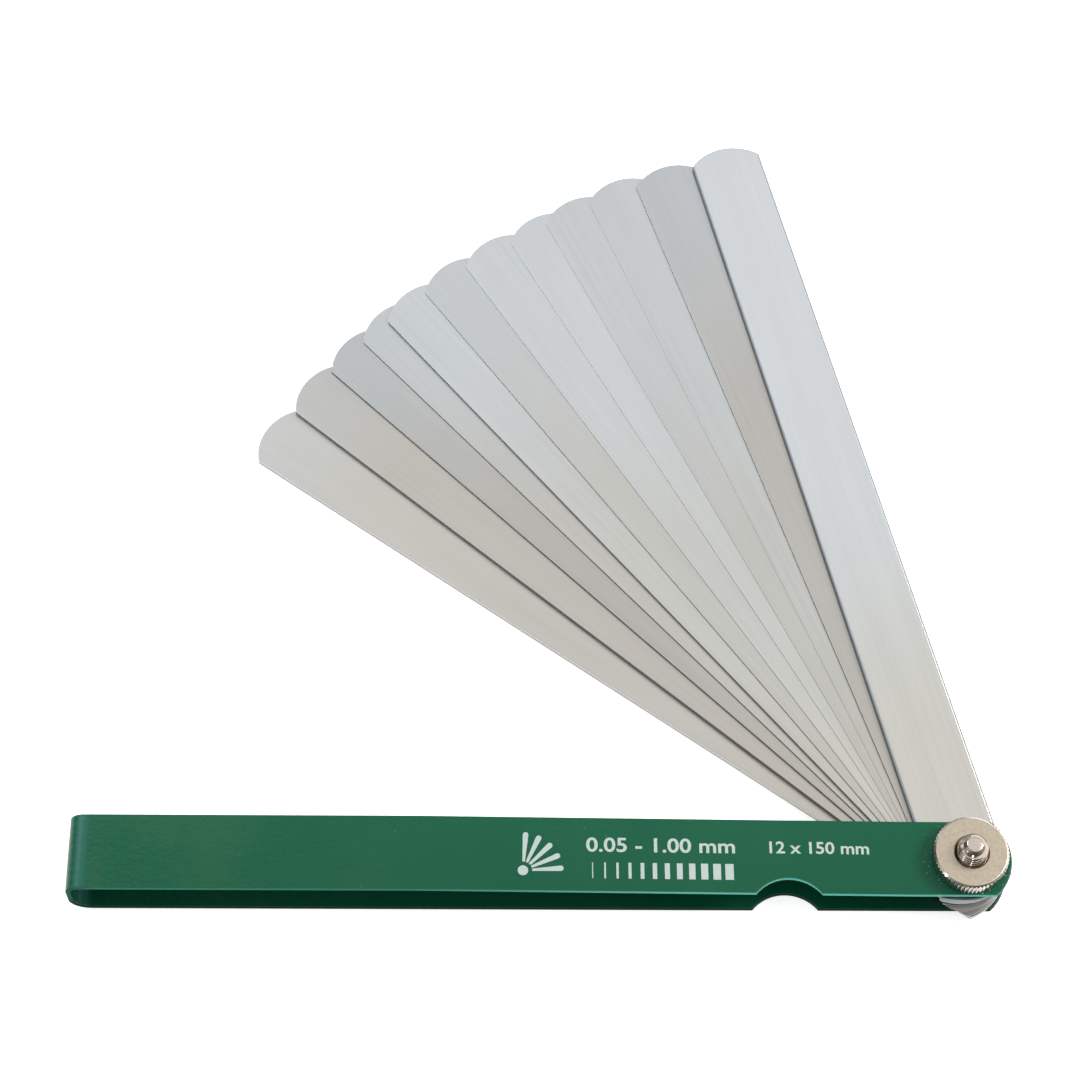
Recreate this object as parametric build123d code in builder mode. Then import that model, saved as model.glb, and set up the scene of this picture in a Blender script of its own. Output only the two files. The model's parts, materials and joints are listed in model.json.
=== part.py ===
"""Feeler gauge: twelve spring-steel leaves fanned on one stud in a folded steel case.

Frame: millimetres, +Z up. The origin is on the pivot axis at the underside of the case.
The case runs towards -X from the pivot, and the leaves fan out towards +Y.
"""

import os
from math import cos, radians, sin, sqrt

from build123d import *

# ---------------------------------------------------------------- driving dimensions
# Case: one painted steel strip folded into a U, with the fold at the far end from the pivot
STRIP_WIDTH = 12.7
STRIP_THICKNESS = 0.8
CASE_FOLD_X = -145.6  # outer face of the fold
CASE_FOLD_HEIGHT = 9.5  # over both plates, at the fold
CASE_FOLD_TOP_RADIUS = 2.4  # outer radius of the fold's upper corner
CASE_FOLD_BOTTOM_RADIUS = 3.6  # and of its lower corner
CASE_SLOPE_START_X = -88.8  # the top plate is level from the fold to here
CASE_SLOPE_END_X = -10.0  # and level again from here to the pivot end
CASE_KNEE_RADIUS = 60.0  # gentle bends at both ends of the slope
CASE_EDGE_RADIUS = 0.25  # sheared edges of the strip, softened under the paint
PIVOT_END_RADIUS = 8.4
PIVOT_END_X = 7.0  # crown of the rounded pivot end of both plates

# Thumb notch, cut through the front edge of both plates
NOTCH_X = -29.4
NOTCH_WIDTH = 10.7
NOTCH_DEPTH = 2.6

# Leaves, from the bottom of the stack to the top: thickness, angle from +X in the fan, cut length
LEAVES = [
    (0.90, 144.9, 149.9),
    (0.80, 140.3, 150.2),
    (0.40, 136.2, 150.5),
    (0.25, 132.9, 150.6),
    (0.50, 130.5, 150.4),
    (0.20, 126.9, 150.6),
    (0.10, 123.2, 150.5),
    (0.08, 119.3, 150.5),
    (0.07, 116.2, 150.7),
    (0.05, 112.5, 151.3),
    (0.30, 108.7, 150.9),
    (1.00, 104.2, 151.3),
]
LEAF_WIDTH = 12.7
LEAF_TAIL = 6.8  # from the pivot axis to the crown of the tail
LEAF_TIP_RADIUS = 8.9
LEAF_TAIL_RADIUS = 9.8
LEAF_TAIL_SKEW = 0.9  # the tail's arc is centred this far to one side, which leaves one long corner
LEAF_GAP = 0.02  # oil film between neighbouring leaves

# Pivot hardware
STUD_RADIUS = 2.45  # over the M5 thread
STUD_HEAD_RADIUS = 3.6  # flush countersunk head in the lower plate
STUD_STANDS_PROUD = 3.4  # above the nut
STUD_TIP_RADIUS = 1.4
STUD_TIP_CONE = 1.5  # height of the long lead-in cone
PIVOT_CLEARANCE = 0.05  # radial, between the stud and all that turns on it
FRICTION_WASHER_RADIUS = 6.6
FRICTION_WASHER_THICKNESS = 0.6
NUT_RADIUS = 6.15
NUT_THICKNESS = 3.0
NUT_TEETH = 60
NUT_GROOVE_DEPTH = 0.22
NUT_CHAMFER = 0.3
NUT_MOUTH_RADIUS = 3.0  # countersink round the stud

# ---------------------------------------------------------------- worked-out heights
BORE_RADIUS = STUD_RADIUS + PIVOT_CLEARANCE
LOWER_WASHER_Z = STRIP_THICKNESS
LEAF_STACK_Z = LOWER_WASHER_Z + FRICTION_WASHER_THICKNESS + LEAF_GAP
LEAF_STACK_HEIGHT = sum(thickness + LEAF_GAP for thickness, angle, length in LEAVES)
UPPER_WASHER_Z = LEAF_STACK_Z + LEAF_STACK_HEIGHT
TOP_PLATE_Z = UPPER_WASHER_Z + FRICTION_WASHER_THICKNESS
NUT_Z = TOP_PLATE_Z + STRIP_THICKNESS
STUD_TOP_Z = NUT_Z + NUT_THICKNESS + STUD_STANDS_PROUD
HALF_WIDTH = STRIP_WIDTH / 2


def corner_offset(end_radius, half_width):
    """How far a corner of a rounded end stands back from its crown."""
    return end_radius - sqrt(end_radius**2 - half_width**2)


# ---------------------------------------------------------------- case
# Side profile of the folded strip, then its plan outline cuts the ends and the notch
with BuildPart() as case:
    with BuildSketch(Plane.XZ):
        with BuildLine():
            FilletPolyline(
                (PIVOT_END_X, 0),
                (CASE_FOLD_X, 0),
                (CASE_FOLD_X, CASE_FOLD_HEIGHT),
                (CASE_SLOPE_START_X, CASE_FOLD_HEIGHT),
                (CASE_SLOPE_END_X, NUT_Z),
                (PIVOT_END_X, NUT_Z),
                radius=[
                    CASE_FOLD_BOTTOM_RADIUS,
                    CASE_FOLD_TOP_RADIUS,
                    CASE_KNEE_RADIUS,
                    CASE_KNEE_RADIUS,
                ],
            )
            offset(amount=STRIP_THICKNESS, side=Side.RIGHT)
        make_face()
    extrude(amount=HALF_WIDTH, both=True)

    end_corner_x = PIVOT_END_X - corner_offset(PIVOT_END_RADIUS, HALF_WIDTH)
    with BuildSketch(Plane.XY):
        with BuildLine():
            Polyline(
                (end_corner_x, HALF_WIDTH),
                (CASE_FOLD_X, HALF_WIDTH),
                (CASE_FOLD_X, -HALF_WIDTH),
                (end_corner_x, -HALF_WIDTH),
            )
            ThreePointArc((end_corner_x, -HALF_WIDTH), (PIVOT_END_X, 0), (end_corner_x, HALF_WIDTH))
        make_face()
        notch_radius = ((NOTCH_WIDTH / 2) ** 2 + NOTCH_DEPTH**2) / (2 * NOTCH_DEPTH)
        with Locations((NOTCH_X, NOTCH_DEPTH - notch_radius - HALF_WIDTH)):
            Circle(notch_radius, mode=Mode.SUBTRACT)
    extrude(amount=CASE_FOLD_HEIGHT, mode=Mode.INTERSECT)

    # Soften the sheared outline of the strip, but not the edges across its end faces
    outline = case.edges().filter_by(lambda edge: edge.length > 1.5 * STRIP_THICKNESS)
    fillet(outline, radius=CASE_EDGE_RADIUS)

    # The stud's countersunk head fills the hole in the lower plate
    with BuildSketch(Plane.XZ):
        with BuildLine():
            Polyline(
                (0, 0),
                (STUD_HEAD_RADIUS, 0),
                (STUD_RADIUS, STRIP_THICKNESS),
                (0, STRIP_THICKNESS),
                close=True,
            )
        make_face()
    revolve(axis=Axis.Z, mode=Mode.SUBTRACT)
    with BuildSketch(Plane.XY.offset(TOP_PLATE_Z)):
        Circle(BORE_RADIUS)
    extrude(amount=STRIP_THICKNESS, mode=Mode.SUBTRACT)
case.part.label = "case"

# ---------------------------------------------------------------- pivot stud
with BuildPart() as pivot_stud:
    with BuildSketch(Plane.XZ):
        with BuildLine():
            Polyline(
                (0, 0),
                (STUD_HEAD_RADIUS, 0),
                (STUD_RADIUS, STRIP_THICKNESS),
                (STUD_RADIUS, STUD_TOP_Z - STUD_TIP_CONE),
                (STUD_TIP_RADIUS, STUD_TOP_Z),
                (0, STUD_TOP_Z),
                close=True,
            )
        make_face()
    revolve(axis=Axis.Z)
pivot_stud.part.label = "pivot_stud"


# ---------------------------------------------------------------- friction washers
def friction_washer(z):
    """A thin ring between a plate and the leaves, with its lower face at height z."""
    with BuildPart() as washer:
        with BuildSketch(Plane.XY.offset(z)):
            Circle(FRICTION_WASHER_RADIUS)
            Circle(BORE_RADIUS, mode=Mode.SUBTRACT)
        extrude(amount=FRICTION_WASHER_THICKNESS)
    return washer


lower_friction_washer = friction_washer(LOWER_WASHER_Z)
lower_friction_washer.part.label = "lower_friction_washer"
upper_friction_washer = friction_washer(UPPER_WASHER_Z)
upper_friction_washer.part.label = "upper_friction_washer"

# ---------------------------------------------------------------- knurled nut
with BuildPart() as knurled_nut:
    with BuildSketch(Plane.XY.offset(NUT_Z)):
        Circle(NUT_RADIUS)
        with PolarLocations(NUT_RADIUS, NUT_TEETH):
            Rectangle(
                NUT_GROOVE_DEPTH * sqrt(2),
                NUT_GROOVE_DEPTH * sqrt(2),
                rotation=45,
                mode=Mode.SUBTRACT,
            )
    extrude(amount=NUT_THICKNESS)
    # Both rims are turned to a small chamfer after knurling
    with BuildSketch(Plane.XZ):
        with BuildLine():
            Polyline(
                (0, NUT_Z),
                (NUT_RADIUS - NUT_CHAMFER, NUT_Z),
                (NUT_RADIUS, NUT_Z + NUT_CHAMFER),
                (NUT_RADIUS, NUT_Z + NUT_THICKNESS - NUT_CHAMFER),
                (NUT_RADIUS - NUT_CHAMFER, NUT_Z + NUT_THICKNESS),
                (0, NUT_Z + NUT_THICKNESS),
                close=True,
            )
        make_face()
    revolve(axis=Axis.Z, mode=Mode.INTERSECT)
    with Locations((0, 0, NUT_Z + NUT_THICKNESS)):
        CounterSinkHole(BORE_RADIUS, NUT_MOUTH_RADIUS, depth=NUT_THICKNESS, counter_sink_angle=90)
knurled_nut.part.label = "knurled_nut"


# ---------------------------------------------------------------- leaves
def leaf(z, thickness, angle, length):
    """One leaf with its lower face at height z, turned by angle about the pivot."""
    side = LEAF_WIDTH / 2
    tip_x = length - LEAF_TAIL
    tip_corner_x = tip_x - corner_offset(LEAF_TIP_RADIUS, side)
    long_corner_x = corner_offset(LEAF_TAIL_RADIUS, side - LEAF_TAIL_SKEW) - LEAF_TAIL
    short_corner_x = corner_offset(LEAF_TAIL_RADIUS, side + LEAF_TAIL_SKEW) - LEAF_TAIL
    turned = Plane(
        origin=(0, 0, z),
        x_dir=(cos(radians(angle)), sin(radians(angle)), 0),
        z_dir=(0, 0, 1),
    )
    with BuildPart() as blade:
        with BuildSketch(turned):
            with BuildLine():
                Line((short_corner_x, -side), (tip_corner_x, -side))
                ThreePointArc((tip_corner_x, -side), (tip_x, 0), (tip_corner_x, side))
                Line((tip_corner_x, side), (long_corner_x, side))
                ThreePointArc(
                    (long_corner_x, side),
                    (-LEAF_TAIL, LEAF_TAIL_SKEW),
                    (short_corner_x, -side),
                )
            make_face()
            Circle(BORE_RADIUS, mode=Mode.SUBTRACT)
        extrude(amount=thickness)
    return blade


leaves = []
leaf_z = LEAF_STACK_Z
for thickness, angle, length in LEAVES:
    blade = leaf(leaf_z, thickness, angle, length)
    blade.part.label = f"leaf_{round(thickness * 100):03d}"
    leaves.append(blade)
    leaf_z += thickness + LEAF_GAP

# ---------------------------------------------------------------- export
os.makedirs("parts", exist_ok=True)
hardware = [case, pivot_stud, lower_friction_washer, upper_friction_washer, knurled_nut]
for piece in hardware + leaves:
    export_step(piece.part, f"parts/{piece.part.label}.step")
print(f"top plate at the pivot: {NUT_Z:.2f} mm, stud top: {STUD_TOP_Z:.2f} mm")
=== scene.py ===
"""Looks of the feeler gauge: painted folded case, ground steel leaves, nickel-plated pivot hardware."""

import json
import math

import bmesh
import bpy
from mathutils import Matrix, Vector


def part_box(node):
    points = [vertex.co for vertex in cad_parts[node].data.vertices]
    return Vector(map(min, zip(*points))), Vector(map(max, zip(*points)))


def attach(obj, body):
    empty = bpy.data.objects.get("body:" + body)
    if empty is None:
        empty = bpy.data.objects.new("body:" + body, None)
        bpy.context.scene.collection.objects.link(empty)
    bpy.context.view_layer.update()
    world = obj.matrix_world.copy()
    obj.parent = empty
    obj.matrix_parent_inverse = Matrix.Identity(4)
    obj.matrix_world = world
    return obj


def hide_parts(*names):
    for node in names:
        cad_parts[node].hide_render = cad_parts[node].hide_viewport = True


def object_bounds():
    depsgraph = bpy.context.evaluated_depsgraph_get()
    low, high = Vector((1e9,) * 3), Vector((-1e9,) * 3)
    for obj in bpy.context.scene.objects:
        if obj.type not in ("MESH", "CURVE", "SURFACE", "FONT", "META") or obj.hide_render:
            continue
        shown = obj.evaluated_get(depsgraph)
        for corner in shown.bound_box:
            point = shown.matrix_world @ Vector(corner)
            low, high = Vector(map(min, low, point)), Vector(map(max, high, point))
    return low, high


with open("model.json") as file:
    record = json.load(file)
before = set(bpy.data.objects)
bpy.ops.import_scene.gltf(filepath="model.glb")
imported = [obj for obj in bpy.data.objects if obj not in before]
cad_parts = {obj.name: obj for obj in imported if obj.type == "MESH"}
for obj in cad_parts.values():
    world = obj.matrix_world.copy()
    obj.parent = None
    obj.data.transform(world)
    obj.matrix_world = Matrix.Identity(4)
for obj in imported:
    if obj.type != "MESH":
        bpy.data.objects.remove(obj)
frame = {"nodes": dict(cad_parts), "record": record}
CAD_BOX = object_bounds()
NODES = frame["nodes"]
BEHAVIOUR = frame["record"]["behaviour"]
MM = 0.001

# ---------------------------------------------------------------- shader helper
MIX_COLOUR_INPUTS = (6, 7)  # the Mix node's sockets for colours, which share their names with others
MIX_COLOUR_OUTPUT = 2


class Shader:
    """A Principled material and short calls for the nodes used below. Lengths are in metres."""

    def __init__(self, name, metallic=0.0, roughness=0.5):
        self.material = bpy.data.materials.new(name)
        self.material.use_nodes = True
        self.nodes = self.material.node_tree.nodes
        self.links = self.material.node_tree.links
        self.bsdf = self.nodes["Principled BSDF"]
        self.set("Metallic", metallic)
        self.set("Roughness", roughness)
        self.place = self.nodes.new("ShaderNodeTexCoord").outputs["Object"]

    def set(self, socket, value):
        self.bsdf.inputs[socket].default_value = value

    def plug(self, value, socket):
        """Connects a node output to an input, or sets the input when value is a constant."""
        if isinstance(value, bpy.types.NodeSocket):
            self.links.new(value, socket)
        else:
            socket.default_value = value

    def stretched(self, scale=(1, 1, 1), turn=0.0, offset=(0, 0, 0)):
        """Object coordinates turned about Z, then scaled along the turned axes."""
        turned = self.nodes.new("ShaderNodeVectorRotate")
        turned.rotation_type = "Z_AXIS"
        turned.inputs["Angle"].default_value = -turn
        self.links.new(self.place, turned.inputs["Vector"])
        scaled = self.nodes.new("ShaderNodeVectorMath")
        scaled.operation = "MULTIPLY_ADD"
        self.links.new(turned.outputs[0], scaled.inputs[0])
        scaled.inputs[1].default_value = scale
        scaled.inputs[2].default_value = offset
        return scaled.outputs[0]

    def noise(self, scale, detail=2.0, roughness=0.5, where=None):
        node = self.nodes.new("ShaderNodeTexNoise")
        node.inputs["Scale"].default_value = scale
        node.inputs["Detail"].default_value = detail
        node.inputs["Roughness"].default_value = roughness
        self.links.new(self.place if where is None else where, node.inputs["Vector"])
        return node.outputs["Fac"]

    def spots(self, scale, where=None):
        """Distance to the nearest of many scattered points, 0 at a point."""
        node = self.nodes.new("ShaderNodeTexVoronoi")
        node.inputs["Scale"].default_value = scale
        self.links.new(self.place if where is None else where, node.inputs["Vector"])
        return node.outputs["Distance"]

    def axis(self, letter, where=None):
        node = self.nodes.new("ShaderNodeSeparateXYZ")
        self.links.new(self.place if where is None else where, node.inputs[0])
        return node.outputs[letter]

    def remap(self, value, low, high, to_low=0.0, to_high=1.0):
        """Maps low to to_low and high to to_high, and holds those values beyond."""
        node = self.nodes.new("ShaderNodeMapRange")
        self.plug(value, node.inputs["Value"])
        limits = (("From Min", low), ("From Max", high), ("To Min", to_low), ("To Max", to_high))
        for socket, number in limits:
            node.inputs[socket].default_value = number
        return node.outputs["Result"]

    def maths(self, operation, a, b=0.0):
        node = self.nodes.new("ShaderNodeMath")
        node.operation = operation
        self.plug(a, node.inputs[0])
        self.plug(b, node.inputs[1])
        return node.outputs[0]

    def facing(self, way):
        """How far a face turns towards a direction fixed in the piece: 1 full on, 0 edge on."""
        normal = self.nodes.new("ShaderNodeTexCoord").outputs["Normal"]
        dot = self.nodes.new("ShaderNodeVectorMath")
        dot.operation = "DOT_PRODUCT"
        self.links.new(normal, dot.inputs[0])
        dot.inputs[1].default_value = way
        return dot.outputs["Value"]

    def upright(self, full, none):
        """1 where the normal's share along Z is below full, and 0 where it is above none."""
        return self.remap(self.maths("ABSOLUTE", self.facing((0, 0, 1))), full, none, 1, 0)

    def length_from_axis(self):
        """Distance from the pivot axis, which is the frame's Z axis."""
        flat = self.nodes.new("ShaderNodeVectorMath")
        flat.operation = "MULTIPLY"
        self.links.new(self.place, flat.inputs[0])
        flat.inputs[1].default_value = (1, 1, 0)
        node = self.nodes.new("ShaderNodeVectorMath")
        node.operation = "LENGTH"
        self.links.new(flat.outputs[0], node.inputs[0])
        return node.outputs["Value"]

    def grain_along(self, angle):
        """Points the anisotropic reflection along a direction that is fixed in the piece."""
        turn = self.nodes.new("ShaderNodeVectorTransform")
        turn.vector_type = "VECTOR"
        turn.convert_from = "OBJECT"
        turn.convert_to = "WORLD"
        turn.inputs[0].default_value = (math.cos(angle), math.sin(angle), 0)
        self.links.new(turn.outputs[0], self.bsdf.inputs["Tangent"])

    def mix(self, factor, low, high):
        """The colour low where the factor is 0 and high where it is 1."""
        node = self.nodes.new("ShaderNodeMix")
        node.data_type = "RGBA"
        self.plug(factor, node.inputs["Factor"])
        for number, colour in zip(MIX_COLOUR_INPUTS, (low, high)):
            if not isinstance(colour, bpy.types.NodeSocket):
                colour = (*colour, 1)
            self.plug(colour, node.inputs[number])
        return node.outputs[MIX_COLOUR_OUTPUT]

    def scaled_colour(self, colour, factor):
        """A colour made darker or lighter by a factor that may vary."""
        node = self.nodes.new("ShaderNodeVectorMath")
        node.operation = "SCALE"
        self.links.new(colour, node.inputs[0])
        self.plug(factor, node.inputs["Scale"])
        return node.outputs[0]

    def colour(self, colour):
        self.links.new(colour, self.bsdf.inputs["Base Color"])

    def colour_between(self, factor, low, high):
        self.colour(self.mix(factor, low, high))

    def roughness(self, value):
        self.links.new(value, self.bsdf.inputs["Roughness"])

    def bump(self, height, distance, under=None):
        """Adds a bump of that height in metres, on top of an earlier one."""
        node = self.nodes.new("ShaderNodeBump")
        node.inputs["Distance"].default_value = distance
        self.links.new(height, node.inputs["Height"])
        if under is not None:
            self.links.new(under, node.inputs["Normal"])
        self.links.new(node.outputs[0], self.bsdf.inputs["Normal"])
        return node.outputs[0]


# ---------------------------------------------------------------- camera
CAMERA_TARGET = Vector((-69.2, 61.5, 0.0)) * MM
CAMERA_DISTANCE = 488.1 * MM
CAMERA_AZIMUTH = math.radians(-2.3)
CAMERA_ELEVATION = math.radians(62.7)
CAMERA_ROLL = math.radians(2.4)
CAMERA_LENS = 93.5
CAMERA_SENSOR = 36.0
CAMERA_CLIP_START = 0.01
CAMERA_CLIP_END = 20.0


def make_camera():
    """A camera on a sphere round the target, rolled a little about its own axis."""
    back = Vector(
        (
            math.sin(CAMERA_AZIMUTH) * math.cos(CAMERA_ELEVATION),
            -math.cos(CAMERA_AZIMUTH) * math.cos(CAMERA_ELEVATION),
            math.sin(CAMERA_ELEVATION),
        )
    )
    level_right = Vector((math.cos(CAMERA_AZIMUTH), math.sin(CAMERA_AZIMUTH), 0.0))
    right = Matrix.Rotation(CAMERA_ROLL, 3, back) @ level_right
    up = back.cross(right)
    data = bpy.data.cameras.new("camera")
    data.lens = CAMERA_LENS
    data.sensor_width = CAMERA_SENSOR
    data.clip_start = CAMERA_CLIP_START
    data.clip_end = CAMERA_CLIP_END
    camera = bpy.data.objects.new("camera", data)
    turn = Matrix((right, up, back)).transposed().to_4x4()
    camera.matrix_world = Matrix.Translation(CAMERA_TARGET + CAMERA_DISTANCE * back) @ turn
    bpy.context.scene.collection.objects.link(camera)
    bpy.context.scene.camera = camera


# ---------------------------------------------------------------- light and floor
# The tent's colour by the Z part of the direction
TENT_COLOURS = {0.0: (0.50, 0.48, 0.47, 1), 0.45: (0.74, 0.735, 0.72, 1), 0.9: (0.82, 0.84, 0.86, 1)}
TENT_STRENGTH = 1.0
OPENING_STRENGTH = 0.22
WARM_LIGHT = (1.0, 0.985, 0.96)
WARMER_LIGHT = (1.0, 0.985, 0.95)
COOL_LIGHT = (0.80, 0.95, 1.0)
WHITE_LIGHT = (1, 1, 1)
LIGHT_AIM = Vector((-60, 40, 0)) * MM  # the middle of the object
FLOOR_HALF_SIDE = 3.0
FLOOR_GLOW = 0.60


def direction(azimuth, elevation):
    """Unit vector at that azimuth from +X and that elevation, in degrees."""
    turn = math.radians(azimuth)
    rise = math.radians(elevation)
    level = math.cos(rise)
    return Vector((math.cos(turn) * level, math.sin(turn) * level, math.sin(rise)))


def make_world():
    """A light tent: bright at the top, behind and at the right, dim low in front and at the left."""
    world = bpy.data.worlds.new("light_tent")
    bpy.context.scene.world = world
    world.use_nodes = True
    nodes, links = world.node_tree.nodes, world.node_tree.links
    nodes.clear()
    output = nodes.new("ShaderNodeOutputWorld")
    background = nodes.new("ShaderNodeBackground")
    place = nodes.new("ShaderNodeTexCoord")
    split = nodes.new("ShaderNodeSeparateXYZ")
    links.new(place.outputs["Generated"], split.inputs[0])
    links.new(background.outputs[0], output.inputs["Surface"])

    ramp = nodes.new("ShaderNodeValToRGB")
    stops = ramp.color_ramp.elements
    stops.remove(stops[1])
    for height, colour in TENT_COLOURS.items():
        stop = stops.new(height) if height else stops[0]
        stop.color = colour
    links.new(split.outputs["Z"], ramp.inputs["Fac"])

    def fade(axis, clear, full):
        """0 to 1 between two places along an axis of the view direction."""
        node = nodes.new("ShaderNodeMapRange")
        node.inputs["From Min"].default_value = clear
        node.inputs["From Max"].default_value = full
        links.new(split.outputs[axis], node.inputs["Value"])
        return node.outputs["Result"]

    def combine(operation, a, b):
        node = nodes.new("ShaderNodeMath")
        node.operation = operation
        links.new(a, node.inputs[0])
        links.new(b, node.inputs[1])
        return node.outputs[0]

    left = combine("MULTIPLY", fade("X", -0.62, -0.86), fade("Y", -0.15, 0.10))
    opening = combine("MAXIMUM", fade("Y", -0.40, -0.85), left)
    opening = combine("MULTIPLY", opening, fade("Z", 0.80, 0.50))
    strength = nodes.new("ShaderNodeMapRange")
    strength.inputs["To Min"].default_value = TENT_STRENGTH
    strength.inputs["To Max"].default_value = OPENING_STRENGTH
    links.new(opening, strength.inputs["Value"])
    links.new(ramp.outputs["Color"], background.inputs["Color"])
    links.new(strength.outputs["Result"], background.inputs["Strength"])


def soft_box(name, azimuth, elevation, distance, size, power, colour=WHITE_LIGHT, tilt=0.0):
    """A soft box of that width and height, aimed at the object and tilted about its own axis."""
    data = bpy.data.lights.new(name, "AREA")
    data.shape = "RECTANGLE"
    data.size, data.size_y = size
    data.energy = power
    data.color = colour
    light = bpy.data.objects.new(name, data)
    place = LIGHT_AIM + distance * direction(azimuth, elevation)
    facing = (LIGHT_AIM - place).to_track_quat("-Z", "Y").to_matrix()
    turn = facing @ Matrix.Rotation(math.radians(tilt), 3, "Z")
    light.matrix_world = Matrix.Translation(place) @ turn.to_4x4()
    bpy.context.scene.collection.objects.link(light)


def make_lights():
    """A large key at the right, a strip that lights the fold, and two small boxes low in front."""
    soft_box("key_right", 8, 44, distance=0.95, size=(0.35, 0.35), power=5.0, colour=WARM_LIGHT)
    soft_box("fold_strip", 140, 44, 0.80, size=(0.20, 0.46), power=1.5, colour=COOL_LIGHT, tilt=-38)
    soft_box("front_left", 217, 22, distance=0.80, size=(0.10, 0.10), power=0.16, colour=WARMER_LIGHT)
    soft_box("front_low", 268, 8, distance=0.80, size=(0.10, 0.10), power=0.5)


def make_floor():
    """A pale lit table that the tool lies on, which keeps its shadow faint."""
    mesh = bpy.data.meshes.new("floor")
    half = FLOOR_HALF_SIDE
    corners = [(-half, -half, 0), (half, -half, 0), (half, half, 0), (-half, half, 0)]
    mesh.from_pydata(corners, [], [(0, 1, 2, 3)])
    floor = bpy.data.objects.new("floor", mesh)
    bpy.context.scene.collection.objects.link(floor)
    paper = Shader("pale_paper", roughness=0.9)
    paper.set("Specular IOR Level", 0.1)
    grain = paper.noise(900, detail=3)
    paper.colour_between(grain, (0.90, 0.90, 0.895), (0.94, 0.94, 0.935))
    paper.set("Emission Color", (1, 1, 1, 1))
    paper.set("Emission Strength", FLOOR_GLOW)
    mesh.materials.append(paper.material)


# ---------------------------------------------------------------- materials
# Enamel of the case. A pair of places along X, Y or Z is where a change begins and where it ends
PAINT_DARK = (0.0012, 0.083, 0.037)
PAINT_LIGHT = (0.0052, 0.100, 0.049)
PAINT_WORN = (0.026, 0.100, 0.038)
PAINTED_BEND_HIGHLIGHT = (0.030, 0.150, 0.135)
PAINT_NIB = (0.12, 0.27, 0.20)
PAINT_CHIP = (0.30, 0.38, 0.30)
PAINTED_LOWER_EDGE_SHADE = (0.002, 0.016, 0.009)
PAINTED_EDGE_HIGHLIGHT_AT_FOLD = (0.026, 0.165, 0.112)
PAINTED_EDGE_HIGHLIGHT_AT_PIVOT = (0.105, 0.400, 0.320)
WRINKLED_X = (-144 * MM, -85 * MM)
BEND_STARTS_X = (-144.9 * MM, -144.1 * MM)
BEND_ENDS_X = (-143.0 * MM, -142.0 * MM)
FLAT_STARTS_X = (-142.5 * MM, -140.5 * MM)
EDGE_PALES_X = (-90 * MM, -45 * MM)
EDGE_LEAVES_BEND_X = (-144.5 * MM, -140.0 * MM)
LOWER_PLATE_TOP_Z = (0.8 * MM, 1.0 * MM)
BETWEEN_PLATES_Z = (2.5 * MM, 4.5 * MM)
ACROSS_CASE_Y = (-6 * MM, 6 * MM)
CHIPPED_ROUND_NUT = (6.4 * MM, 8.6 * MM)  # from the pivot axis
WRINKLE_SCALE = (900, 1700, 900)
WRINKLE_TURN = 0.35
WRINKLE_STEP = (0.16, 0.16, 0)  # to the neighbouring point that the relief is taken against
WRINKLE_HEIGHT = 0.09 * MM
PEEL_HEIGHT = 0.006 * MM


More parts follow.
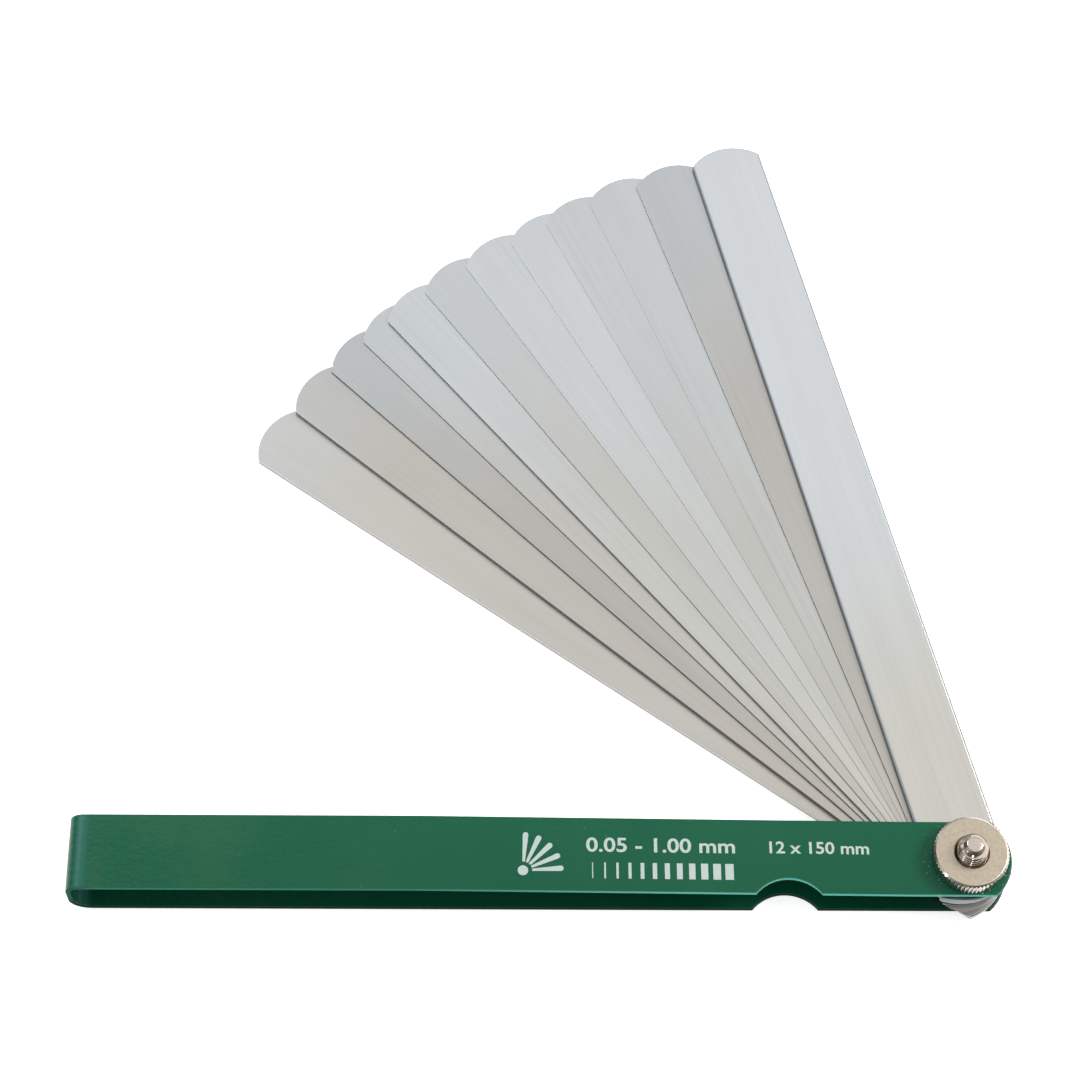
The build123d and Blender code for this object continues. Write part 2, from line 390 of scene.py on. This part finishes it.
def green_paint():
    """Sprayed green enamel: fine orange peel, drawn into wrinkles at the fold, with nibs and small chips,
    painted relief shading on the wrinkles, painted highlights on the bend and front edge, and painted shade
    on the lower plate.
    """
    paint = Shader("green_enamel", roughness=0.3)
    paint.set("Specular IOR Level", 0.26)
    along = paint.axis("X")
    height = paint.axis("Z")
    cloudy = paint.noise(60, detail=3)
    colour = paint.mix(cloudy, PAINT_DARK, PAINT_LIGHT)
    # Wrinkles, with painted relief shading: a little lighter on the side that faces one way and darker on
    # the other
    fold = paint.remap(along, *WRINKLED_X, 1, 0.08)
    here = paint.stretched(WRINKLE_SCALE, WRINKLE_TURN)
    beside = paint.stretched(WRINKLE_SCALE, WRINKLE_TURN, WRINKLE_STEP)
    wrinkles = paint.noise(1, detail=3, roughness=0.6, where=here)
    relief = paint.maths("SUBTRACT", wrinkles, paint.noise(1, detail=3, roughness=0.6, where=beside))
    painted_relief_shade = paint.maths("MULTIPLY", paint.remap(relief, -0.06, 0.06, -1, 1), fold)
    colour = paint.scaled_colour(colour, paint.remap(painted_relief_shade, -1, 1, 0.84, 1.13))
    # Handling has worn the wrinkled part, and a bluish highlight is painted on the bend beside it
    worn = paint.maths("MULTIPLY", fold, paint.remap(along, *FLAT_STARTS_X))
    worn = paint.maths("MULTIPLY", paint.remap(cloudy, 0.45, 0.62), worn)
    colour = paint.mix(paint.maths("MULTIPLY", worn, 0.5), colour, PAINT_WORN)
    bend = paint.maths("SUBTRACT", paint.remap(along, *BEND_STARTS_X), paint.remap(along, *BEND_ENDS_X))
    colour = paint.mix(paint.maths("MULTIPLY", bend, 0.45), colour, PAINTED_BEND_HIGHLIGHT)
    nib = paint.remap(paint.spots(420), 0.05, 0.09, 1, 0)
    nib = paint.maths("MULTIPLY", nib, paint.remap(cloudy, 0.48, 0.60))
    colour = paint.mix(paint.maths("MULTIPLY", nib, 0.3), colour, PAINT_NIB)
    near_nut = paint.remap(paint.length_from_axis(), *CHIPPED_ROUND_NUT, 1, 0)
    chips = paint.remap(paint.noise(2600, detail=1), 0.68, 0.72)
    colour = paint.mix(paint.maths("MULTIPLY", near_nut, chips), colour, PAINT_CHIP)
    # Painted shade darkens the whole lower plate, for the shade inside the case, and the colour pales a
    # little towards the back edge
    lower_plate_shade = paint.remap(height, *LOWER_PLATE_TOP_Z, 0.72, 1.0)
    paler_behind = paint.remap(paint.axis("Y"), *ACROSS_CASE_Y, 0.97, 1.05)
    colour = paint.scaled_colour(colour, paint.maths("MULTIPLY", lower_plate_shade, paler_behind))
    # The front edge of the strip: a pale painted highlight along the top plate, and dark painted shade along
    # the lower one
    front = paint.remap(paint.facing((0, -1, 0)), 0.35, 0.80)
    upper = paint.remap(height, *BETWEEN_PLATES_Z)
    pale = paint.remap(along, *EDGE_PALES_X)
    front_edge_highlight = paint.mix(pale, PAINTED_EDGE_HIGHLIGHT_AT_FOLD, PAINTED_EDGE_HIGHLIGHT_AT_PIVOT)
    front_edge_highlight = paint.scaled_colour(front_edge_highlight, paint.remap(along, *EDGE_LEAVES_BEND_X, 0.45, 1.0))
    edge = paint.mix(upper, PAINTED_LOWER_EDGE_SHADE, front_edge_highlight)
    paint.colour(paint.mix(front, colour, edge))
    peel = paint.bump(paint.noise(1500, detail=2), PEEL_HEIGHT)
    paint.bump(paint.maths("MULTIPLY", wrinkles, fold), WRINKLE_HEIGHT, under=peel)
    paint.roughness(paint.maths("MAXIMUM", paint.remap(cloudy, 0, 1, 0.24, 0.34), front))
    return paint.material


# Steel of the leaves
STEEL_COOL = (0.725, 0.742, 0.755)
STEEL_WARM = (0.71, 0.705, 0.665)
STEEL_WARMTH = (0.0, 0.040, 0.060)  # taken off the warm colour at full warmth
OILED_STEEL = (0.64, 0.58, 0.47)
EDGE_SHADE_DARK = (0.12, 0.11, 0.095)
SQUARE_EDGE_TINT = (1.0, 1.0, 1.08)
ROLLED_TINT = (0.96, 1.0, 1.08)
COOL_FADES_BEFORE = 30 * MM
COOL_FADES_AFTER = 15 * MM
OILED_FROM_PIVOT = (12 * MM, 52 * MM)
SHADED_NEAR_PIVOT = (25 * MM, 125 * MM)
SHADED_TAIL = (-4.5 * MM, -2.0 * MM)  # along the leaf
HAIRLINE_SCALE = (18, 5200, 5200)
CLOUD_SCALE = (30, 110, 110)
HAIRLINE_HEIGHT = 0.004 * MM
ROLLED_ROUGHNESS = 0.85


def leaf_steel(name, angle, seed, tone, warmth, cool_from, edge, bottom, top, rolled):
    """Ground spring steel: hairlines along the leaf, faint clouding, edges darkened by painted shade.

    The cool tint begins at the distance cool_from from the pivot. The edges' painted shade runs from dark at
    the leaf's bottom to the brightness edge at its top. Rolled rims are dull and a little bluer.
    """
    steel = Shader(name, metallic=1.0, roughness=0.32)
    steel.set("Anisotropic", 0.3)
    steel.grain_along(angle)
    offset = (seed * 7.3, seed * 3.1, seed)
    lined = steel.stretched(HAIRLINE_SCALE, angle, offset)
    hairlines = steel.noise(1, detail=4, roughness=0.65, where=lined)
    clouds = steel.noise(1, detail=3, where=steel.stretched(CLOUD_SCALE, angle, offset))
    warm = tuple(full - warmth * less for full, less in zip(STEEL_WARM, STEEL_WARMTH))
    distance = steel.length_from_axis()
    cooled = steel.remap(distance, cool_from - COOL_FADES_BEFORE, cool_from + COOL_FADES_AFTER)
    colour = steel.mix(cooled, warm, STEEL_COOL)
    # Old oil yellows the steel towards the pivot, and painted shade darkens the tail under the top plate
    oil = steel.remap(distance, *OILED_FROM_PIVOT, 1, 0)
    colour = steel.mix(steel.maths("MULTIPLY", oil, 0.45), colour, OILED_STEEL)
    along = steel.axis("X", where=steel.stretched(turn=angle))
    tail_shade = steel.remap(along, *SHADED_TAIL, 0.62, 1.0)
    cloudy = steel.remap(clouds, 0.3, 0.7, 0.965, 1.01)
    clouding_and_shade = steel.maths("ADD", cloudy, steel.remap(hairlines, 0.3, 0.7, -0.03, 0.03))
    # Painted shade: the leaves darken towards the pivot, where the case shades them
    clouding_and_shade = steel.maths("MULTIPLY", clouding_and_shade, steel.remap(distance, *SHADED_NEAR_PIVOT, 0.91, 1.0))
    clouding_and_shade = steel.maths("MULTIPLY", clouding_and_shade, tail_shade)
    colour = steel.scaled_colour(colour, steel.maths("MULTIPLY", clouding_and_shade, tone))
    # Painted shade on the edges, dark at the leaf's bottom and darker on its right-hand side
    rise = steel.maths("POWER", steel.remap(steel.axis("Z"), bottom, top), 0.7 if rolled else 1.6)
    brightest = tuple(edge * share for share in (ROLLED_TINT if rolled else SQUARE_EDGE_TINT))
    shaded_edge = steel.mix(rise, EDGE_SHADE_DARK, brightest)
    far_side = steel.facing((math.sin(angle), -math.cos(angle), 0))
    shaded_edge = steel.scaled_colour(shaded_edge, steel.remap(far_side, 0.15, 0.45, 1.0, 0.60))
    rim = steel.upright(0.93, 0.995) if rolled else steel.upright(0.55, 0.95)
    steel.colour(steel.mix(rim, colour, shaded_edge))
    gloss = steel.remap(hairlines, 0, 1, 0.24, 0.44)
    if rolled:
        gloss = steel.maths("MAXIMUM", gloss, steel.maths("MULTIPLY", rim, ROLLED_ROUGHNESS))
    steel.roughness(gloss)
    steel.bump(hairlines, HAIRLINE_HEIGHT)
    return steel.material


# Nickel plate of the nut and the stud
NUT_SATIN_DARK = (0.50, 0.425, 0.32)
NUT_SATIN_LIGHT = (0.63, 0.54, 0.42)
NUT_SIDE_PAINTED_REFLECTION = (0.60, 0.54, 0.50)
STUD_SATIN_DARK = (0.64, 0.54, 0.46)
STUD_SATIN_LIGHT = (0.78, 0.67, 0.58)
STUD_SIDE_PAINTED_SHADE = (0.42, 0.355, 0.31)
PLATING_HEIGHT = 0.004 * MM
TURNING_HEIGHT = 0.003 * MM
TURNING_SCALE = 9000


def nickel(name, roughness, dark, light, side, side_roughness, turned):
    """Nickel plate whose sides are painted in another colour than its level faces, as a painted reflection
    on the nut's sides and painted shade on the stud's, with faint turning marks if cut on a lathe.
    """
    metal = Shader(name, metallic=1.0, roughness=roughness)
    clouds = metal.noise(1500, detail=4, roughness=0.8)
    colour = metal.mix(metal.remap(clouds, 0.3, 0.7), dark, light)
    speck = metal.remap(metal.noise(2400, detail=1), 0.66, 0.74, 1.0, 0.8)
    colour = metal.scaled_colour(colour, speck)
    # The sides take the colour side: a painted reflection of cooler surroundings on the nut, painted shade
    # on the stud
    level = metal.remap(metal.facing((0, 0, 1)), 0.80, 0.95)
    metal.colour(metal.mix(level, side, colour))
    satin = metal.remap(clouds, 0, 1, roughness * 0.85, roughness * 1.2)
    extra = metal.maths("SUBTRACT", satin, side_roughness)
    metal.roughness(metal.maths("ADD", metal.maths("MULTIPLY", extra, level), side_roughness))
    soft = metal.bump(metal.noise(2400, detail=2), PLATING_HEIGHT)
    if turned:
        rings = metal.nodes.new("ShaderNodeTexNoise")
        rings.noise_dimensions = "1D"
        rings.inputs["Scale"].default_value = TURNING_SCALE
        metal.links.new(metal.length_from_axis(), rings.inputs["W"])
        metal.bump(rings.outputs["Fac"], TURNING_HEIGHT, under=soft)
    return metal.material


def dark_steel():
    """Blackened steel of the friction washers, tinted slightly green as a painted reflection of the case."""
    steel = Shader("blackened_steel", metallic=0.6, roughness=0.4)
    steel.colour_between(steel.noise(900, detail=2), (0.012, 0.03, 0.022), (0.03, 0.05, 0.04))
    steel.bump(steel.noise(2500), 0.003 * MM)
    return steel.material


def white_ink():
    """Screen-printed ink, thin enough for the green to grey it a little."""
    ink = Shader("white_ink", roughness=0.55)
    ink.colour_between(ink.noise(3500, detail=2), (0.36, 0.43, 0.40), (0.56, 0.62, 0.59))
    ink.bump(ink.noise(4000), 0.004 * MM)
    return ink.material


# ---------------------------------------------------------------- mesh helpers
def add_piece(name, mesh, body, material, smooth_angle=40):
    """Links a new piece that rides on a body. Edges over smooth_angle stay sharp."""
    mesh.materials.append(material)
    mesh.shade_smooth()
    mesh.set_sharp_from_angle(angle=math.radians(smooth_angle))
    piece = bpy.data.objects.new(name, mesh)
    bpy.context.scene.collection.objects.link(piece)
    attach(piece, body)
    return piece


def bridge(shell, below, above):
    """Adds quads between two closed loops of as many corners each."""
    for step in range(len(below)):
        after = (step + 1) % len(below)
        shell.faces.new((below[step], below[after], above[after], above[step]))


def revolved(rings, columns):
    """A shell through rings, each a function of the turn that gives (radius, height), and its loops.

    It is open at the first and the last loop, which the caller closes.
    """
    shell = bmesh.new()
    loops = []
    for ring in rings:
        loop = []
        for step in range(columns):
            turn = 2 * math.pi * step / columns
            radius, height = ring(turn)
            loop.append(shell.verts.new((radius * math.cos(turn), radius * math.sin(turn), height)))
        loops.append(loop)
    for below, above in zip(loops, loops[1:]):
        bridge(shell, below, above)
    return shell, loops


def finished(shell, name):
    """The shell as a mesh, with its faces turned outwards."""
    bmesh.ops.recalc_face_normals(shell, faces=shell.faces)
    mesh = bpy.data.meshes.new(name)
    shell.to_mesh(mesh)
    shell.free()
    return mesh


def level_ring(radius, height):
    """A plain circle for revolved()."""
    return lambda turn: (radius, height)


def node_radius(node, low, high):
    """Largest distance from the pivot axis of a CAD node's corners between two heights."""
    corners = [v.co for v in NODES[node].data.vertices]
    return max(Vector((c.x, c.y)).length for c in corners if low <= c.z <= high)


# ---------------------------------------------------------------- pivot hardware
THREAD_PITCH = 0.8 * MM
THREAD_DEPTH = 0.32 * MM
THREAD_ROUNDING = 0.8  # below 1 the roots are wide and the crests narrow
THREAD_COLUMNS = 96
THREAD_ROW = 0.08 * MM
STUD_CONE = 1.5 * MM
THREAD_ENDS_ON_CONE = 0.5  # share of the cone's height that the thread still reaches
FOOT_CAP = 0.3  # radius of the middle part of the flat foot, as a share of the foot's
TIP_CAP = 0.4  # and the same for the tip
TIP_ROUND = 0.28 * MM
NUT_TEETH = 60
TOOTH_COLUMNS = 8
TOOTH_DEPTH = 0.17 * MM
TOOTH_ROUNDING = 1.4  # above 1 the grooves are narrow and the teeth wide
KNURL_ROWS = 4
NUT_CHAMFER = 0.38 * MM
SMOOTH_CHAMFER = 0.9  # share of the way from the face to the knurl's roots that is turned smooth
NUT_MOUTH = 2.90 * MM
NUT_BORE = 2.50 * MM
MOUTH_DEPTH = 0.28 * MM
NEAR = 0.01 * MM  # tolerance when corners of a CAD node are looked up by height


def thread_groove(turn, height):
    """How deep the rounded right-hand thread is cut at a point, from 0 on a crest to 1 at a root."""
    phase = (height / THREAD_PITCH - turn / (2 * math.pi)) % 1.0
    return (0.5 - 0.5 * math.cos(2 * math.pi * phase)) ** THREAD_ROUNDING


def make_stud(material):
    """The threaded stud: flush countersunk foot, cut thread, lead-in cone and a small flat top."""
    low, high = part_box("pivot_stud")
    top = high[2]
    cone_foot = top - STUD_CONE
    plate_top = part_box("lower_friction_washer")[0][2]
    nut_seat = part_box("knurled_nut")[0][2]
    foot = node_radius("pivot_stud", low[2] - NEAR, low[2] + NEAR)
    thread = node_radius("pivot_stud", nut_seat, cone_foot + NEAR)
    tip = node_radius("pivot_stud", top - NEAR, top + NEAR)

    def cone_radius(height):
        return tip + (thread - tip) * (top - height) / STUD_CONE

    def thread_ring(height):
        fade = min(1.0, (height - nut_seat) / THREAD_PITCH)
        outer = min(thread, cone_radius(height)) if height > cone_foot else thread

        def ring(turn):
            cut = thread - THREAD_DEPTH * fade * thread_groove(turn, height)
            return min(outer, cut), height

        return ring

    rings = [
        level_ring(foot * FOOT_CAP, low[2]),
        level_ring(foot, low[2]),
        level_ring(thread, plate_top),
        level_ring(thread, nut_seat),
    ]
    rows = round((cone_foot + THREAD_ENDS_ON_CONE * STUD_CONE - nut_seat) / THREAD_ROW)
    rings += [thread_ring(nut_seat + THREAD_ROW * (row + 1)) for row in range(rows)]
    # The rim of the tip is rounded in three steps
    rings += [
        level_ring(cone_radius(top - TIP_ROUND), top - TIP_ROUND),
        level_ring(tip, top - 0.65 * TIP_ROUND),
        level_ring(tip - 0.25 * TIP_ROUND, top - 0.25 * TIP_ROUND),
        level_ring(tip - TIP_ROUND, top),
        level_ring(TIP_CAP * tip, top),
    ]
    shell, loops = revolved(rings, THREAD_COLUMNS)
    shell.faces.new(loops[0])
    shell.faces.new(loops[-1])
    mesh = finished(shell, "threaded_stud")
    piece = add_piece("threaded_stud", mesh, "case", material, smooth_angle=50)
    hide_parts("pivot_stud")


def make_nut(material):
    """The clamp nut: flat faces, chamfered rims that run out into a straight knurl, countersunk mouth."""
    low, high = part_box("knurled_nut")
    bottom, top = low[2], high[2]
    outer = node_radius("knurled_nut", bottom, top)
    inner = outer - NUT_CHAMFER

    def knurl_radius(turn):
        groove = (0.5 - 0.5 * math.cos(NUT_TEETH * turn)) ** TOOTH_ROUNDING
        return outer - TOOTH_DEPTH * groove

    def crest(height_of):
        """A ring where the chamfer meets the knurl."""
        return lambda turn: (knurl_radius(turn), height_of(knurl_radius(turn) - inner))

    smooth = inner + SMOOTH_CHAMFER * (outer - TOOTH_DEPTH - inner)
    rings = [
        level_ring(NUT_BORE, bottom + MOUTH_DEPTH),
        level_ring(NUT_MOUTH, bottom),
        level_ring(inner, bottom),
        level_ring(smooth, bottom + smooth - inner),
        crest(lambda rise: bottom + rise),
    ]
    for step in range(1, KNURL_ROWS):
        share = step / KNURL_ROWS
        height = bottom + NUT_CHAMFER + share * (top - bottom - 2 * NUT_CHAMFER)
        rings.append(lambda turn, height=height: (knurl_radius(turn), height))
    # Close pairs of rings keep the top face evenly shaded up to its rounded rims
    rings += [
        crest(lambda rise: top - rise),
        level_ring(smooth, top - (smooth - inner)),
        level_ring(inner + 0.01 * MM, top - 0.015 * MM),
        level_ring(inner - 0.04 * MM, top),
        level_ring(inner - 0.14 * MM, top),
        level_ring(NUT_MOUTH + 0.12 * MM, top),
        level_ring(NUT_MOUTH + 0.03 * MM, top),
        level_ring(NUT_MOUTH - 0.01 * MM, top - 0.02 * MM),
        level_ring(NUT_BORE, top - MOUTH_DEPTH),
    ]
    shell, loops = revolved(rings, NUT_TEETH * TOOTH_COLUMNS)
    bridge(shell, loops[-1], loops[0])
    mesh = finished(shell, "clamp_nut")
    piece = add_piece("clamp_nut", mesh, "knurled_nut", material, smooth_angle=25)
    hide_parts("knurled_nut")


# ---------------------------------------------------------------- printed marks on the case
# Plan boxes: left, right, front, back
MARK_FAN = (-73.4 * MM, -65.4 * MM, -4.0 * MM, 3.2 * MM)
MARK_RANGE = (-62.1 * MM, -38.0 * MM, 0.4 * MM, 2.9 * MM)
MARK_BARS = (-62.1 * MM, -38.0 * MM, -4.1 * MM, -1.4 * MM)
MARK_LENGTH = (-32.4 * MM, -16.2 * MM, 0.5 * MM, 2.6 * MM)
INK_LOW = -0.008 * MM  # heights over the plate
INK_HIGH = 0.016 * MM
LETTER_WEIGHT = 0.018  # offset of the strokes, as a share of the font's size
LETTER_SMOOTHNESS = 4
SAME_CORNER = 0.0005 * MM
SIGN_LEAVES = 5
SIGN_FIRST_ANGLE = 4  # degrees
SIGN_ANGLE_STEP = 20.5
SIGN_PIVOT_INSET = 1.1 * MM
SIGN_LEAF_START = 1.5 * MM
SIGN_LEAF_END = 6.1 * MM
SIGN_LEAF_HALF_WIDTH = 0.46 * MM
SIGN_LEAF_HALF_ROOT = 0.20 * MM
SIGN_TIP_STEPS = 6
SIGN_STUD_RADIUS = 0.85 * MM
SIGN_STUD_CORNERS = 20
BAR_COUNT = 12
BAR_HALF_THINNEST = 0.08 * MM
BAR_HALF_STEP = 0.055 * MM


def plate_height(x):
    """Height of the case's upper surface on its centre line."""
    above = Vector((x, 0, CAD_BOX[1][2] + 1 * MM))
    place = NODES["case"].ray_cast(above, Vector((0, 0, -1)))[1]
    return place.z


def on_plate(mesh):
    """Lays a flat mesh, drawn in plan with its thickness along Z, on the sloping top plate."""
    left, right = MARK_FAN[0], MARK_LENGTH[1]
    slope = (plate_height(right) - plate_height(left)) / (right - left)
    for vertex in mesh.vertices:
        vertex.co.z += plate_height(left) + slope * (vertex.co.x - left)
    return mesh


def slab(name, outlines):
    """A thin closed plate for each plan outline, from INK_LOW to INK_HIGH."""
    shell = bmesh.new()
    for outline in outlines:
        below = [shell.verts.new((x, y, INK_LOW)) for x, y in outline]
        above = [shell.verts.new((x, y, INK_HIGH)) for x, y in outline]
        shell.faces.new(list(reversed(below)))
        shell.faces.new(above)
        bridge(shell, below, above)
    return on_plate(finished(shell, name))


def lettering(name, text, plan_box):
    """Figures from the built-in font, stretched to fill a plan box."""
    left, right, front, back = plan_box
    curve = bpy.data.curves.new(name, "FONT")
    curve.body = text
    curve.offset = LETTER_WEIGHT
    curve.extrude = 0.5  # any thickness will do, as the heights are set below
    curve.resolution_u = LETTER_SMOOTHNESS
    carrier = bpy.data.objects.new(name + "_curve", curve)
    bpy.context.scene.collection.objects.link(carrier)
    evaluated = carrier.evaluated_get(bpy.context.evaluated_depsgraph_get())
    mesh = bpy.data.meshes.new_from_object(evaluated)
    bpy.data.objects.remove(carrier)
    bpy.data.curves.remove(curve)
    mesh.name = name
    xs = [v.co.x for v in mesh.vertices]
    ys = [v.co.y for v in mesh.vertices]
    wide, tall = max(xs) - min(xs), max(ys) - min(ys)
    for vertex in mesh.vertices:
        x = left + (vertex.co.x - min(xs)) * (right - left) / wide
        y = front + (vertex.co.y - min(ys)) * (back - front) / tall
        vertex.co = (x, y, INK_HIGH if vertex.co.z > 0 else INK_LOW)
    shell = bmesh.new()
    shell.from_mesh(mesh)
    bmesh.ops.remove_doubles(shell, verts=shell.verts, dist=SAME_CORNER)
    shell.to_mesh(mesh)
    shell.free()
    return on_plate(mesh)


def sign_leaf(pivot, angle):
    """One leaf of the sign, a little wider towards its round tip."""
    along = Vector((math.cos(angle), math.sin(angle)))
    across = Vector((-along.y, along.x))
    near = pivot + along * SIGN_LEAF_START
    far = pivot + along * SIGN_LEAF_END
    half = SIGN_LEAF_HALF_WIDTH
    outline = [near - across * SIGN_LEAF_HALF_ROOT, far - across * half]
    for corner in range(1, SIGN_TIP_STEPS):
        turn = math.radians(-90 + 180 * corner / SIGN_TIP_STEPS)
        outline.append(far + along * half * math.cos(turn) + across * half * math.sin(turn))
    outline += [far + across * half, near + across * SIGN_LEAF_HALF_ROOT]
    return [tuple(point) for point in outline]


def fan_outlines():
    """A sign of five leaves fanned on a stud."""
    left, right, front, back = MARK_FAN
    pivot = Vector((left + SIGN_PIVOT_INSET, front + SIGN_PIVOT_INSET))
    angles = [math.radians(SIGN_FIRST_ANGLE + SIGN_ANGLE_STEP * step) for step in range(SIGN_LEAVES)]
    ring = []
    for step in range(SIGN_STUD_CORNERS):
        turn = 2 * math.pi * step / SIGN_STUD_CORNERS
        away = SIGN_STUD_RADIUS * Vector((math.cos(turn), math.sin(turn)))
        ring.append(tuple(pivot + away))
    return [sign_leaf(pivot, angle) for angle in angles] + [ring]


def bar_outlines():
    """A row of bars from thin to thick, one for each leaf."""
    left, right, front, back = MARK_BARS
    pitch = (right - left) / BAR_COUNT
    outlines = []
    for step in range(BAR_COUNT):
        half = BAR_HALF_THINNEST + BAR_HALF_STEP * step
        middle = left + pitch * (step + 0.5)
        near, far = middle - half, middle + half
        outlines.append([(near, front), (far, front), (far, back), (near, back)])
    return outlines


def print_marks(ink):
    """The four generic marks that stand where the photographed case is printed."""
    marks = {
        "mark_fan": slab("mark_fan", fan_outlines()),
        "mark_range": lettering("mark_range", "0.05 - 1.00 mm", MARK_RANGE),
        "mark_bars": slab("mark_bars", bar_outlines()),
        "mark_length": lettering("mark_length", "12 x 150 mm", MARK_LENGTH),
    }
    for name, mesh in marks.items():
        add_piece(name, mesh, "case", ink)


# ---------------------------------------------------------------- CAD nodes and leaves
# Tone, warmth near the pivot, where the cool tint begins and the brightness at the top of the edges' painted
# shade, for each leaf from the bottom of the stack
LEAF_LOOKS = {
    "leaf_090": (0.872, 0.9, 150 * MM, 0.62),
    "leaf_080": (0.820, 1.0, 150 * MM, 0.34),
    "leaf_040": (0.775, 0.7, 130 * MM, 0.28),
    "leaf_025": (0.870, 0.5, 124 * MM, 0.24),
    "leaf_050": (0.925, 0.3, 110 * MM, 0.22),
    "leaf_020": (0.897, 0.3, 122 * MM, 0.42),
    "leaf_010": (0.965, 0.1, 100 * MM, 0.48),
    "leaf_008": (0.985, 0.0, 95 * MM, 0.44),
    "leaf_007": (0.910, 0.3, 100 * MM, 0.34),
    "leaf_005": (0.920, 0.1, 95 * MM, 0.34),
    "leaf_030": (0.835, 0.7, 118 * MM, 0.32),
    "leaf_100": (1.050, 0.0, 60 * MM, 0.60),
}
ROLLED_RIMS = {"leaf_100": 0.46 * MM}
RIM_STEPS = 6
RIM_SUPPORT = 0.05 * MM  # a ring this far inside the rim keeps the flat part evenly shaded
BEVEL_WIDTH = 0.06 * MM
BEVEL_SHARE = 0.3  # of a thin leaf's thickness
BEVEL_STEPS = 3
BEVEL_ANGLE = math.radians(50)
SAME_PLACE = 0.001 * MM


def dress(node, material):
    """Gives a CAD node one material."""
    mesh = NODES[node].data
    mesh.materials.clear()
    mesh.materials.append(material)


def plan_rings(node):
    """The plan outline of a leaf, then that of its bore, both counter-clockwise."""
    shell = bmesh.new()
    shell.from_mesh(NODES[node].data)
    bmesh.ops.remove_doubles(shell, verts=shell.verts, dist=SAME_PLACE)
    top = max(v.co.z for v in shell.verts)
    beside = {}
    for edge in shell.edges:
        at_top = all(abs(v.co.z - top) < SAME_PLACE for v in edge.verts)
        level = [face for face in edge.link_faces if abs(face.normal.z) > 0.5]
        if at_top and len(level) == 1:
            first, second = edge.verts
            beside.setdefault(first, []).append(second)
            beside.setdefault(second, []).append(first)
    rings = []
    while beside:
        start = min(beside, key=lambda v: (v.co.x, v.co.y))
        ring, here = [], start
        while here in beside:
            ring.append(Vector((here.co.x, here.co.y)))
            ahead = [v for v in beside.pop(here) if v in beside]
            here = ahead[0] if ahead else start
        area = sum(a.cross(b) for a, b in zip(ring, ring[1:] + ring[:1]))
        rings.append(ring if area > 0 else ring[::-1])
    shell.free()
    return sorted(rings, key=lambda ring: -max(point.length for point in ring))


def inset(ring, distance):
    """A counter-clockwise ring moved inwards by a distance, with mitred corners."""
    moved = []
    for before, point, after in zip(ring[-1:] + ring[:-1], ring, ring[1:] + ring[:1]):
        ways = (point - before, after - point)
        first, second = [Vector((-way.y, way.x)).normalized() for way in ways]
        moved.append(point + distance * (first + second) / (1 + first.dot(second)))
    return moved


def make_rolled_leaf(node, material, rim):
    """A leaf whose outline is rolled to quarter rounds of radius rim. It replaces the square CAD leaf."""
    low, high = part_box(node)
    bottom, top = low[2], high[2]
    outline, bore = plan_rings(node)
    levels = [(rim + RIM_SUPPORT, bottom)]
    for step in range(RIM_STEPS + 1):
        turn = math.radians(90 * step / RIM_STEPS)
        levels.append((rim * (1 - math.sin(turn)), bottom + rim * (1 - math.cos(turn))))
    levels += [(distance, bottom + top - height) for distance, height in reversed(levels)]
    shell = bmesh.new()

    def added(ring, height):
        return [shell.verts.new((point.x, point.y, height)) for point in ring]

    loops = [added(inset(outline, distance), height) for distance, height in levels]
    for below, above in zip(loops, loops[1:]):
        bridge(shell, below, above)
    holes = [added(bore, bottom), added(bore, top)]
    bridge(shell, *holes)
    for edge_loop, hole in ((loops[0], holes[0]), (loops[-1], holes[1])):
        edges = []
        for loop in (edge_loop, hole):
            for first, second in zip(loop, loop[1:] + loop[:1]):
                edges.append(shell.edges.get((first, second)))
        bmesh.ops.triangle_fill(shell, use_beauty=True, use_dissolve=False, edges=edges)
    name = f"rolled_{node}"
    piece = add_piece(name, finished(shell, name), node, material)
    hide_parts(node)


def soften(node, width):
    """Takes the sharp rims of a CAD node off with a small bevel.

    The faces of a CAD node's mesh share no corners, so they are welded first.
    """
    weld = NODES[node].modifiers.new("joined_faces", "WELD")
    weld.merge_threshold = SAME_PLACE
    bevel = NODES[node].modifiers.new("softened_rims", "BEVEL")
    bevel.width = width
    bevel.segments = BEVEL_STEPS
    bevel.limit_method = "ANGLE"
    bevel.angle_limit = BEVEL_ANGLE
    bevel.harden_normals = True


def dress_leaves():
    """Gives each leaf its own steel, with the grain along it, and takes its rims off."""
    swings = {joint["child"]: joint for joint in BEHAVIOUR["joints"]}
    for seed, (name, look) in enumerate(LEAF_LOOKS.items()):
        # At its lowest limit a leaf points along +X, so that limit is minus its angle in the fan
        angle = math.radians(-swings[name]["range_deg"][0])
        low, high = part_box(name)
        steel = leaf_steel(f"steel_{name}", angle, seed, *look, low[2], high[2], name in ROLLED_RIMS)
        dress(name, steel)
        if name in ROLLED_RIMS:
            make_rolled_leaf(name, steel, ROLLED_RIMS[name])
        else:
            soften(name, min(BEVEL_WIDTH, BEVEL_SHARE * (high[2] - low[2])))


# ---------------------------------------------------------------- build
make_camera()
make_world()
make_lights()
make_floor()

dress("case", green_paint())
washer_steel = dark_steel()
dress("lower_friction_washer", washer_steel)
dress("upper_friction_washer", washer_steel)
dress_leaves()
make_nut(nickel("nickel_nut", 0.32, NUT_SATIN_DARK, NUT_SATIN_LIGHT, NUT_SIDE_PAINTED_REFLECTION, 0.17, turned=True))
make_stud(nickel("nickel_stud", 0.20, STUD_SATIN_DARK, STUD_SATIN_LIGHT, STUD_SIDE_PAINTED_SHADE, 0.13, turned=False))
print_marks(white_ink())

bpy.context.scene.view_settings.view_transform = "Standard"
